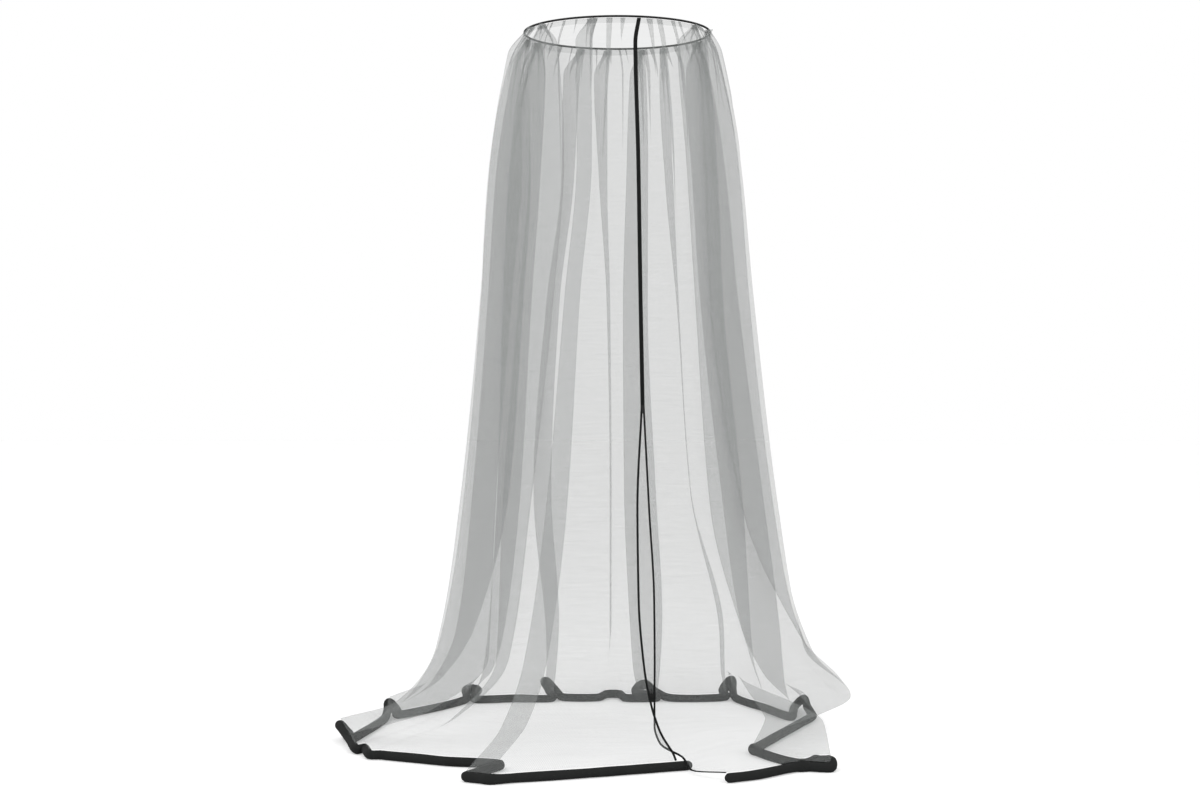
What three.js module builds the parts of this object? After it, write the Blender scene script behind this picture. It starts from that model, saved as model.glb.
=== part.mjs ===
// A parasol mosquito net: a round net gathered onto a hoop, open down the front along a zip,
// with a soft stuffed tube sewn to its hem that lies on the floor in loose tucks.
// Millimetres. While it is built, z is the height above the floor. The finished group is lowered
// so that its origin is the centre of the hoop. +X is to the right and +Y to the back.
import * as THREE from "three";

// Driving dimensions
const NET_HEIGHT = 2300; // floor to hoop
const HOOP_RADIUS = 303.6;
const HOOP_THICKNESS = 6.8;
const TUBE_DIAMETER = 29;
const CLOTH_THICKNESS = 2;
const TAPE_WIDTH = 5.8; // one side of the zip
const TAPE_THICKNESS = 2;
const SEAM_GAP = 0.8; // between two pieces that touch

// How a fold stands off its wall
const PLEAT_DEPTH = 14; // between the two legs of one fold
const ROOT_STEP = 9; // how far along the wall from the root its outer leg lands
const ROOT_OFFSET = 4.9;
const RETURN_OFFSET = 12.6; // where the outer leg lands
const MIDDLE_OFFSET = 2.47; // the middle's own, besides its share of how far the edge is off
const MIDDLE_SHARE = 0.85;
const FLOOR_MIDDLE_SHARE = 0.4; // how much the middle of a leg rises with its end on the floor

const RIM_HEIGHT = NET_HEIGHT - HOOP_THICKNESS / 2 - 1; // clears the hoop where the cloth is tilted
const HEM_HEIGHT = TUBE_DIAMETER + 2.2;

// Level sections of the net's wall, from the floor up. Each is an oval that reaches left, right,
// front and back of the hoop's axis.
const SECTIONS = {
  low: { height: 310, left: 585, right: 630, front: 545, back: 570 },
  knee: { height: 770, left: 500, right: 528, front: 490, back: 505 },
  chest: { height: 1430, left: 440, right: 440, front: 425, back: 440 },
  high: { height: 1850, left: 412, right: 396, front: 390, back: 398 },
  shoulder: { height: 2213, left: 345, right: 330, front: 330, back: 330 },
};
const LEVELS = ["low", "knee", "chest", "high", "shoulder"];
const FOOT_HEIGHT = 130; // where the cloth starts to spread over the floor
const FOOT_SPREAD = 0.42; // how far the foot has gone from the wall above to the hem below
const RIM_SPREAD = 0.2; // how wide a fold is under the hoop, of its width on the shoulder
const RIM_STACKS = { behind: [-5, 0, 0, 5, 5, 1], ahead: [1, 5, 5, 0, 0, -5] };
const PLAIN_RIM = -4; // plain wall runs just inside the middle of the hoop's rod
const STATION_HEIGHTS = [
  HEM_HEIGHT,
  FOOT_HEIGHT,
  ...LEVELS.map((level) => SECTIONS[level].height),
  RIM_HEIGHT,
];

// The folds in the order that the hem runs: from the zip to the right, round the back, and round
// the left to the zip again. On the floor the hem turns in, goes out to a tip and turns back, as
// [x, y]. rise lifts the two legs at that tip, and width is how far apart they are there. Above,
// the fold lies on the front or back wall from its root to its edge, given as x at each of LEVELS,
// and its edge lies ahead of or behind its root. clear is how far its edge stands off the wall, and
// spill is how far its foot bellies out over the floor. A fold with no tip runs straight from in to
// out on the floor. A row with only an in point is plain wall, and lift raises its hem.
const FOLDS = [
  { wall: "front", in: [395, -712], spill: [50, 90], root: [150, 150, 135, 125, 105] },
  { wall: "front", in: [545, -590], spill: [40, 40], root: [210, 200, 175, 165, 135] },
  { wall: "front", in: [600, -602], spill: [140, 30], root: [240, 225, 200, 185, 158] },
  { wall: "front", in: [628, -598], spill: [190, 10], root: [270, 250, 222, 207, 182] },
  { wall: "front", in: [630, -566], lift: 14, spill: [180, 20], root: [300, 275, 245, 230, 205] },
  { wall: "front", in: [590, -560], lift: 12, spill: [110, 40], root: [330, 300, 268, 252, 228] },
  { wall: "front", in: [545, -542], spill: [20, 60], root: [355, 335, 298, 282, 255] },
  { wall: "front", in: [422, -325], out: [470, -210], lean: "behind", clear: 12, spill: [40, 20],
    root: [410, 385, 325, 310, 280], edge: [398, 275, 230, 205, 180] },
  { wall: "front", in: [505, -125], out: [628, 165], lean: "behind", clear: 40, spill: [150, 60],
    root: [575, 490, 418, 392, 325], edge: [565, 355, 260, 245, 230] },
  { wall: "back", in: [669, 262], spill: [100, 60], root: [615, 515, 430, 388, 324] },
  { wall: "back", in: [672, 290], tip: [646, 480], out: [596, 262], rise: [30, 0], width: 26,
    lean: "ahead", clear: 18, spill: [0, 0],
    root: [555, 490, 405, 362, 300], edge: [425, 355, 280, 250, 225] },
  { wall: "back", in: [516, 450], spill: [0, 0], root: [465, 375, 320, 290, 262] },
  { wall: "back", in: [432, 668], tip: [412, 775], out: [398, 672], rise: [52, 12], width: 26,
    lean: "ahead", clear: 12, spill: [0, 0],
    root: [375, 260, 215, 195, 170], edge: [355, 255, 205, 165, 145] },
  { wall: "back", in: [195, 655], tip: [90, 815], out: [150, 655], rise: [26, 0], width: 28,
    lean: "ahead", clear: 22, spill: [0, 0],
    root: [165, 140, 110, 110, 100], edge: [50, 30, 25, 35, 45] },
  { wall: "back", in: [38, 650], tip: [-8, 735], out: [-62, 662], rise: [0, 0], width: 40,
    lean: "ahead", clear: 12, spill: [0, 0],
    root: [-15, -15, -20, -30, -30], edge: [-20, -20, -30, -55, -70] },
  { wall: "back", in: [-190, 668], tip: [-240, 780], out: [-228, 650], rise: [6, 46], width: 32,
    lean: "ahead", clear: 12, spill: [0, 0],
    root: [-200, -225, -195, -145, -125], edge: [-240, -275, -230, -180, -170] },
  { wall: "back", in: [-366, 640], spill: [0, 0], root: [-320, -310, -290, -270, -232] },
  { wall: "back", in: [-506, 622], tip: [-526, 750], out: [-540, 614], rise: [16, 16], width: 32,
    lean: "behind", clear: 12, spill: [0, 0],
    root: [-440, -405, -382, -360, -302], edge: [-380, -325, -285, -255, -235] },
  { wall: "back", in: [-752, 300], tip: [-776, 385], out: [-787, 225], rise: [0, 30], width: 22,
    lean: "behind", clear: 40, spill: [0, 0],
    root: [-540, -480, -426, -398, -333], edge: [-458, -345, -295, -270, -270] },
  { wall: "front", in: [-832, -60], spill: [0, 0], root: [-570, -490, -432, -404, -339] },
  { wall: "front", in: [-852, -150], tip: [-886, -60], out: [-810, -325], rise: [0, 34], width: 26,
    lean: "behind", clear: 12, spill: [0, 0],
    root: [-395, -378, -328, -298, -302], edge: [-555, -480, -414, -384, -324] },
  { wall: "front", in: [-795, -300], tip: [-745, -410], out: [-690, -430], rise: [0, 0], width: 30,
    lean: "ahead", clear: 18, spill: [0, 0],
    root: [-370, -355, -305, -275, -280], edge: [-325, -260, -190, -160, -180] },
  { wall: "front", in: [-605, -468], spill: [0, 0], root: [-335, -300, -240, -208, -218] },
  { wall: "front", in: [-520, -510], spill: [0, 0], root: [-290, -240, -180, -145, -150] },
  { wall: "front", in: [-356, -560], tip: [-440, -742], out: [-372, -775], rise: [0, 0], width: 14,
    lean: "behind", clear: 12, spill: [0, 0],
    root: [-215, -155, -115, -80, -80], edge: [-275, -210, -155, -120, -120] },
  { wall: "front", in: [-290, -749], spill: [0, 0], root: [-160, -120, -90, -62, -55] },
  { wall: "front", in: [-150, -705], spill: [0, 0], root: [-85, -80, -60, -45, -25] },
];

// The zip is closed above the split, where its middle passes through these places, as [x, y].
const TAPE_SPACING = TAPE_WIDTH + SEAM_GAP;
const ZIP_SPLIT_HEIGHT = 1080;
const CLOSED_ZIP = [
  { height: ZIP_SPLIT_HEIGHT, middle: [74, -452] },
  { height: 1430, middle: [68, -421] },
  { height: 1850, middle: [62, -386] },
  { height: 2213, middle: [54, -328] },
  { height: RIM_HEIGHT, middle: [66, -296] },
];

// Below the split, from the floor up: the middle of each tape, as [x, y, z]. They cross, the left
// one in front. The right one goes over the end of the left hem and along the floor to its own.
const OPEN_ZIP = [
  { height: HEM_HEIGHT, left: [170, -586, HEM_HEIGHT], right: [308, -760, HEM_HEIGHT] },
  { height: 55, left: [161, -600, 55], right: [216, -645, 14] },
  { height: 80, left: [146, -612, 80], right: [190, -576, 40] },
  { height: 105, left: [131, -622, 105], right: [124, -578, 80] },
  { height: 130, left: [119, -628, 130], right: [107, -572, 128] },
  { height: 200, left: [96, -622, 200], right: [107, -560, 200] },
  { height: 310, left: [75, -585, 310], right: [108, -548, 310] },
  { height: 500, left: [60, -536, 500], right: [107, -528, 500] },
  { height: 770, left: [57, -490, 770], right: [93, -487, 770] },
  { height: ZIP_SPLIT_HEIGHT,
    left: [74 - TAPE_SPACING / 2, -452, ZIP_SPLIT_HEIGHT],
    right: [74 + TAPE_SPACING / 2, -452, ZIP_SPLIT_HEIGHT] },
];
const LEFT_TUBE_END = [217, -568]; // the left end of the tube goes on past its tape

const point = (x, y, z) => new THREE.Vector3(x, y, z);
const between = (a, b, share) => a.clone().lerp(b, share);

// The slope where two spans meet. It is level where they turn back, so that nothing overshoots.
const gentleSlope = (below, above) =>
  below * above > 0 ? (2 * below * above) / (below + above) : 0;

// One smooth line up through a point at each height.
function riseThrough(points, heights, height) {
  const last = heights.length - 1;
  let i = 0;
  while (i < last - 1 && height >= heights[i + 1]) i++;
  const span = heights[i + 1] - heights[i];
  const t = (height - heights[i]) / span;
  const coordinate = (axis) => {
    const slope = (k) => (points[k + 1][axis] - points[k][axis]) / (heights[k + 1] - heights[k]);
    const start = i === 0 ? slope(0) : gentleSlope(slope(i - 1), slope(i));
    const end = i + 1 === last ? slope(i) : gentleSlope(slope(i), slope(i + 1));
    return (
      (2 * t ** 3 - 3 * t ** 2 + 1) * points[i][axis] +
      (t ** 3 - 2 * t ** 2 + t) * span * start +
      (-2 * t ** 3 + 3 * t ** 2) * points[i + 1][axis] +
      (t ** 3 - t ** 2) * span * end
    );
  };
  return point(coordinate("x"), coordinate("y"), coordinate("z"));
}

// A point on a section's oval at this x, pushed out by offset.
function onWall(section, wall, x, offset) {
  const across = x < 0 ? section.left : section.right;
  const deep = wall === "front" ? section.front : section.back;
  const share = THREE.MathUtils.clamp(x / across, -0.985, 0.985);
  const y = Math.sqrt(1 - share * share) * deep * (wall === "front" ? -1 : 1);
  const place = point(share * across, y, section.height);
  const normal = point(place.x / across ** 2, place.y / deep ** 2, 0).normalize();
  return place.addScaledVector(normal, offset);
}

// The six points of a fold on a wall: its root, its middle and its edge, out and back again.
function foldOnWall(fold, section, root, edge) {
  const middle = (root + edge) / 2;
  const travel = fold.wall === "front" ? 1 : -1;
  const ahead = fold.lean === "ahead" ? -1 : 1;
  const at = (x, offset) => onWall(section, fold.wall, x, offset);
  const halfway = MIDDLE_OFFSET + fold.clear * MIDDLE_SHARE;
  const points = [
    at(root, ROOT_OFFSET),
    at(middle, halfway),
    at(edge, fold.clear),
    at(edge, fold.clear + PLEAT_DEPTH),
    at(middle, halfway + PLEAT_DEPTH),
    at(root + ahead * travel * ROOT_STEP, RETURN_OFFSET),
  ];
  return fold.lean === "behind" ? points : points.reverse();
}

// The same six points where the fold lies on the floor.
function foldOnFloor(fold) {
  const onFloor = ([x, y]) => point(x, y, HEM_HEIGHT);
  const [turnIn, turnOut] = [onFloor(fold.in), onFloor(fold.out)];
  if (!fold.tip) {
    const shares = [0, 0.2, 0.4, 0.6, 0.8, 1];
    return shares.map((share) => between(turnIn, turnOut, share));
  }
  const tip = onFloor(fold.tip);
  const along = tip.clone().sub(between(turnIn, turnOut, 0.5)).normalize();
  const across = point(-along.y, along.x, 0);
  if (across.dot(turnIn.clone().sub(turnOut)) < 0) across.negate();
  const nearTip = tip.clone().addScaledVector(across, fold.width / 2);
  const farTip = tip.clone().addScaledVector(across, -fold.width / 2);
  const points = [
    turnIn, between(turnIn, nearTip, 0.5), nearTip,
    farTip, between(turnOut, farTip, 0.5), turnOut,
  ];
  const [nearRise, farRise] = fold.rise;
  const [nearMiddle, farMiddle] = [nearRise * FLOOR_MIDDLE_SHARE, farRise * FLOOR_MIDDLE_SHARE];
  const lifts = [0, nearMiddle, nearRise, farRise, farMiddle, 0];
  points.forEach((place, i) => (place.z += lifts[i]));
  return points;
}

// Under the hoop the folds stand in a ring, each leg a little outside the one below it.
function onRim(place, offset) {
  const flat = point(place.x, place.y, 0).setLength(HOOP_RADIUS + offset);
  return flat.setZ(RIM_HEIGHT);
}

// The column of station points of each thread of cloth that runs from the hem up to the hoop.
function foldColumns(fold) {
  const isFold = Boolean(fold.edge);
  const hem = isFold ? foldOnFloor(fold) : [point(...fold.in, HEM_HEIGHT + (fold.lift ?? 0))];
  const levels = LEVELS.map((level, i) =>
    isFold
      ? foldOnWall(fold, SECTIONS[level], fold.root[i], fold.edge[i])
      : [onWall(SECTIONS[level], fold.wall, fold.root[i], 0)]);
  const stack = isFold ? RIM_STACKS[fold.lean] : [PLAIN_RIM];
  const shoulder = levels[LEVELS.length - 1];
  const root = shoulder[fold.lean === "ahead" ? shoulder.length - 1 : 0];
  return hem.map((floorPoint, i) => {
    const wallPoints = levels.map((points) => points[i]);
    const foot = between(wallPoints[0], floorPoint, FOOT_SPREAD);
    foot.add(point(...fold.spill, 0)).setZ(FOOT_HEIGHT);
    const rim = onRim(between(root, shoulder[i], RIM_SPREAD), stack[i]);
    return [floorPoint, foot, ...wallPoints, rim];
  });
}

// The middle of one tape at this height.
function zipPoint(side, height) {
  if (height < ZIP_SPLIT_HEIGHT) {
    const heights = OPEN_ZIP.map((row) => row.height);
    return riseThrough(OPEN_ZIP.map((row) => point(...row[side])), heights, height);
  }
  const heights = CLOSED_ZIP.map((row) => row.height);
  const middles = CLOSED_ZIP.map((row) => point(...row.middle, row.height));
  const offset = side === "left" ? -TAPE_SPACING / 2 : TAPE_SPACING / 2;
  return riseThrough(middles, heights, height).add(point(offset, 0, 0));
}

const COLUMNS = FOLDS.flatMap(foldColumns);
const onThread = (column, height) => riseThrough(column, STATION_HEIGHTS, height);

// How a tape lies: across points level at the net beside it, and out is its front face.
function tapeFrame(side, height) {
  const middle = zipPoint(side, height);
  const lower = zipPoint(side, Math.max(height - 2, HEM_HEIGHT));
  const upper = zipPoint(side, Math.min(height + 2, RIM_HEIGHT));
  const up = upper.sub(lower).normalize();
  const nextThread = COLUMNS[side === "left" ? COLUMNS.length - 1 : 0];
  const across = onThread(nextThread, height).sub(middle);
  across.setZ(0).normalize();
  const out = up.clone().cross(across).normalize().multiplyScalar(side === "left" ? 1 : -1);
  return { middle, across, out };
}

// The net's edge is beside its tape.
function besideTape(side, height) {
  const { middle, across } = tapeFrame(side, height);
  return middle.addScaledVector(across, TAPE_WIDTH / 2 + SEAM_GAP);
}

// The net's middle surface at one height, from the right tape round the back to the left tape.
function netRow(height) {
  return [
    besideTape("right", height),
    ...COLUMNS.map((column) => onThread(column, height)),
    besideTape("left", height),
  ];
}

// A closed solid through level rings of points. Open ends are closed by joining the first half of
// the end ring to its second half.
function solidThrough(rings, isLoop = false) {
  const size = rings[0].length;
  const positions = rings.flat().flatMap((place) => place.toArray());
  const faces = [];
  const bands = isLoop ? rings.length : rings.length - 1;
  for (let row = 0; row < bands; row++) {
    const next = (row + 1) % rings.length;
    for (let i = 0; i < size; i++) {
      const j = (i + 1) % size;
      const [a, b] = [row * size + i, row * size + j];
      const [c, d] = [next * size + j, next * size + i];
      // The second half is split the other way, so that both sides of a sheet bend alike.
      faces.push(...(i < size / 2 ? [a, b, c, a, c, d] : [a, b, d, b, c, d]));
    }
  }
  if (!isLoop) {
    const lastRing = (rings.length - 1) * size;
    for (let i = 0; i < size / 2 - 1; i++) {
      const [a, b, c, d] = [i, i + 1, size - 2 - i, size - 1 - i];
      faces.push(a, c, b, a, d, c);
      faces.push(lastRing + a, lastRing + b, lastRing + c, lastRing + a, lastRing + c, lastRing + d);
    }
  }
  const geometry = new THREE.BufferGeometry();
  geometry.setAttribute("position", new THREE.Float32BufferAttribute(positions, 3));
  geometry.setIndex(faces);
  geometry.computeVertexNormals();
  return geometry;
}

// A sheet of even thickness on a grid of middle points, its rows going up. The two sides of each
// row are pushed out along the edge normals given, so that they meet what is sewn on there.
function sheetOn(grid, thickness, edgeNormals) {
  const clampRow = (i) => grid[THREE.MathUtils.clamp(i, 0, grid.length - 1)];
  const normals = grid.map((row, i) =>
    row.map((_, j) => {
      const before = row[j].clone().sub(row[Math.max(j - 1, 0)]).normalize();
      const after = row[Math.min(j + 1, row.length - 1)].clone().sub(row[j]).normalize();
      const up = clampRow(i + 1)[j].clone().sub(clampRow(i - 1)[j]);
      return before.cross(up).normalize().add(after.cross(up).normalize()).normalize();
    }));
  normals.forEach((row, i) => {
    row[0] = edgeNormals[i][0];
    row[row.length - 1] = edgeNormals[i][1];
  });
  const rings = grid.map((row, i) => {
    const side = (sign) =>
      row.map((place, j) => place.clone().addScaledVector(normals[i][j], (sign * thickness) / 2));
    return [...side(1), ...side(-1).reverse()];
  });
  return solidThrough(rings);
}

// Heights of the net's rows: the stations, with a few rows between each two.
function rowHeights(steps) {
  const heights = [];
  for (let i = 0; i < STATION_HEIGHTS.length - 1; i++) {
    const [from, to] = [STATION_HEIGHTS[i], STATION_HEIGHTS[i + 1]];
    for (let k = 0; k < steps[i]; k++) heights.push(from + ((to - from) * k) / steps[i]);
  }
  return [...heights, RIM_HEIGHT];
}

const NET_ROWS = rowHeights([4, 2, 2, 2, 2, 3, 2]);

function makeNet() {
  const edgeNormals = NET_ROWS.map((height) =>
    ["right", "left"].map((side) => tapeFrame(side, height).out));
  return sheetOn(NET_ROWS.map(netRow), CLOTH_THICKNESS, edgeNormals);
}

function makeHoop() {
  const hoop = new THREE.TorusGeometry(HOOP_RADIUS, HOOP_THICKNESS / 2, 8, 48);
  return hoop.translate(0, 0, NET_HEIGHT);
}

// The stuffed tube under the hem, flat where it rests on the floor.
function makeHemTube() {
  const sides = 8;
  const stepsBetweenPoints = 2;
  const drop = HEM_HEIGHT - TUBE_DIAMETER / 2;
  const tipSag = 0.17; // keeps the rounded tips under the cloth
  const route = netRow(HEM_HEIGHT).slice(1, -1);
  route.unshift(zipPoint("right", HEM_HEIGHT));
  route.push(zipPoint("left", HEM_HEIGHT), point(...LEFT_TUBE_END, HEM_HEIGHT));
  const curve = new THREE.CatmullRomCurve3(
    route.map((place) => place.clone().setZ(place.z - drop - tipSag * (place.z - HEM_HEIGHT))),
    false, "centripetal");
  const corner = TUBE_DIAMETER / 2 / Math.cos(Math.PI / sides);
  const count = (route.length - 1) * stepsBetweenPoints;
  const rings = [];
  for (let k = 0; k <= count; k++) {
    const centre = curve.getPoint(k / count);
    const along = curve.getTangent(k / count).setZ(0).normalize();
    const across = point(along.y, -along.x, 0);
    const ring = [];
    for (let i = 0; i < sides; i++) {
      const angle = ((i + 0.5) * 2 * Math.PI) / sides;
      const place = centre.clone()
        .addScaledVector(across, Math.cos(angle) * corner)
        .add(point(0, 0, Math.sin(angle) * corner));
      ring.push(place.setZ(Math.max(place.z, 0)));
    }
    rings.push(ring.reverse());
  }
  return solidThrough(rings);
}

// One zip tape: a narrow strip in the net's own surface, with its rows where the net has them.
function makeTape(side) {
  const corners = [[1, 1], [1, -1], [-1, -1], [-1, 1]];
  const heights = [...NET_ROWS, ZIP_SPLIT_HEIGHT].sort((a, b) => a - b);
  const rings = heights.map((height) => {
    const { middle, across, out } = tapeFrame(side, height);
    return corners.map(([a, b]) =>
      middle.clone()
        .addScaledVector(across, (a * TAPE_WIDTH) / 2)
        .addScaledVector(out, (b * TAPE_THICKNESS) / 2));
  });
  return solidThrough(side === "left" ? rings.map((ring) => ring.reverse()) : rings);
}

// The slider rests at the split, in front of the tapes.
function makeSlider() {
  const width = 9;
  const depth = 4;
  const length = 15;
  const middle = between(
    zipPoint("left", ZIP_SPLIT_HEIGHT), zipPoint("right", ZIP_SPLIT_HEIGHT), 0.5);
  const standOff = TAPE_THICKNESS / 2 + depth / 2 + 2.5; // the tapes lean back a little
  return new THREE.BoxGeometry(width, depth, length)
    .translate(middle.x, middle.y - standOff, middle.z);
}

const materials = {
  netting: new THREE.MeshStandardMaterial({ color: 0x4a4d4b, roughness: 0.9, metalness: 0 }),
  tube: new THREE.MeshStandardMaterial({ color: 0x2e302f, roughness: 0.85, metalness: 0 }),
  hoop: new THREE.MeshStandardMaterial({ color: 0x242625, roughness: 0.6, metalness: 0 }),
  tape: new THREE.MeshStandardMaterial({ color: 0x1f2120, roughness: 0.8, metalness: 0 }),
};

const group = new THREE.Group();
function addPart(name, geometry, material) {
  const mesh = new THREE.Mesh(geometry, material);
  mesh.name = name;
  group.add(mesh);
}
addPart("net", makeNet(), materials.netting);
addPart("top_ring", makeHoop(), materials.hoop);
addPart("hem_tube", makeHemTube(), materials.tube);
addPart("zip_tape_left", makeTape("left"), materials.tape);
addPart("zip_tape_right", makeTape("right"), materials.tape);
addPart("zip_slider", makeSlider(), materials.tape);
group.position.z = -NET_HEIGHT;

export default group;
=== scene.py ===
"""A parasol mosquito net: sheer grey netting gathered onto a thin black hoop, with a zip down the
front and a soft stuffed tube sewn to its hem. Metres, in the part's frame: the origin is the
centre of the hoop, +Z is up and +Y is the back, so the floor is NET_HEIGHT below the origin."""
import math

import bpy
import numpy as np
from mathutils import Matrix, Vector


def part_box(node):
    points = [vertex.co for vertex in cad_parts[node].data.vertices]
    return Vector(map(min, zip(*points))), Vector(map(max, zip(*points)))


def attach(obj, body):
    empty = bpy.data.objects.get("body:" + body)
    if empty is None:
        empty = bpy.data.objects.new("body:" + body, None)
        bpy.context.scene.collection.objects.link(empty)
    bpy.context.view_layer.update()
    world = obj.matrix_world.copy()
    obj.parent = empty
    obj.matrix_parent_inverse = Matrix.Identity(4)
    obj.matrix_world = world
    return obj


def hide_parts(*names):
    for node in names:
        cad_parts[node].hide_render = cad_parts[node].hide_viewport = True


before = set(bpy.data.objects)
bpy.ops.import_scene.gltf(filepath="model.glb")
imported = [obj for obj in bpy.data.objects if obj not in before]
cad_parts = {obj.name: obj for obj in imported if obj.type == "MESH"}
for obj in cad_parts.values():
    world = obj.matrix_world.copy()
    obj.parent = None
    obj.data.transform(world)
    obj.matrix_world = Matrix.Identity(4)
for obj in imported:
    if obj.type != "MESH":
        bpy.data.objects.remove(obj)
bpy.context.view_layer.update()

# ---------------------------------------------------------------- sizes
MM = 0.001
HOOP_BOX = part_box("top_ring")
HOOP_THICKNESS = (HOOP_BOX[1][2] - HOOP_BOX[0][2]) / MM
HOOP_RADIUS = ((HOOP_BOX[1][0] - HOOP_BOX[0][0]) / MM - HOOP_THICKNESS) / 2
NET_HEIGHT = 2300.0
TUBE_DIAMETER = 29.0
TAPE_WIDTH = 5.8
SEAM_GAP = 0.8
RIM_HEIGHT = NET_HEIGHT - HOOP_THICKNESS / 2 - 1
HEM_HEIGHT = TUBE_DIAMETER + 2.2

# How a fold stands off its wall
PLEAT_DEPTH = 14.0  # between the two legs of one fold
ROOT_STEP = 9.0  # how far along the wall from the root its outer leg lands
ROOT_OFFSET = 4.9
RETURN_OFFSET = 12.6  # where the outer leg lands
MIDDLE_OFFSET = 2.47  # the middle's own, besides its share of how far the edge is off
MIDDLE_SHARE = 0.85
FLOOR_MIDDLE_SHARE = 0.4  # how much the middle of a leg rises with its end on the floor

# Level sections of the net's wall: height above the floor, and reach left, right, front and back.
SECTIONS = {
    "low": dict(height=310, left=585, right=630, front=545, back=570),
    "knee": dict(height=770, left=500, right=528, front=490, back=505),
    "chest": dict(height=1430, left=440, right=440, front=425, back=440),
    "high": dict(height=1850, left=412, right=396, front=390, back=398),
    "shoulder": dict(height=2213, left=345, right=330, front=330, back=330),
}
LEVELS = ["low", "knee", "chest", "high", "shoulder"]
FOOT_HEIGHT = 130  # where the cloth starts to spread over the floor
FOOT_SPREAD = 0.42  # how far the foot has gone from the wall above to the hem below
RIM_SPREAD = 0.2  # how wide a fold is under the hoop, of its width on the shoulder
RIM_STACKS = dict(behind=(-5, 0, 0, 5, 5, 1), ahead=(1, 5, 5, 0, 0, -5))
PLAIN_RIM = -4  # plain wall ends a little inside the middle of the hoop's rod
WIDEST_SHARE = 0.985  # how far towards the end of its oval a point can be
STATION_HEIGHTS = (
    [HEM_HEIGHT, FOOT_HEIGHT] + [SECTIONS[level]["height"] for level in LEVELS] + [RIM_HEIGHT]
)

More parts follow.
